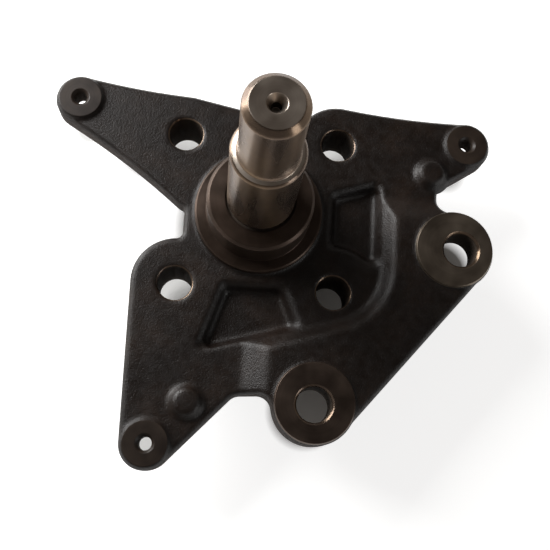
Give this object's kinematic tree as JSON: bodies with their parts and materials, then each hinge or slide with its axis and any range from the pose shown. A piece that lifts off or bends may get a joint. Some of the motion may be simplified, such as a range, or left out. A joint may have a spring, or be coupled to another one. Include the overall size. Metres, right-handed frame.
{
  "type": "steering knuckle",
  "caption": "Forged plate with a stepped bearing spindle, bolt holes round its hub, raised caliper lugs and slender arms for a dust shield.",
  "frame": {"origin": "on the spindle axis, at the rear mounting face", "axes": "+Z outwards along the spindle, X and Y along the sides of the square of bolt holes, both long arms on the -X side"},
  "size_m": [0.1732, 0.1505, 0.1265],
  "materials": {
    "forged_steel": "dark forging scale with machined seats"
  },
  "bodies": {
    "root": {"steering_knuckle": "forged_steel"}
  },
  "joints": []
}
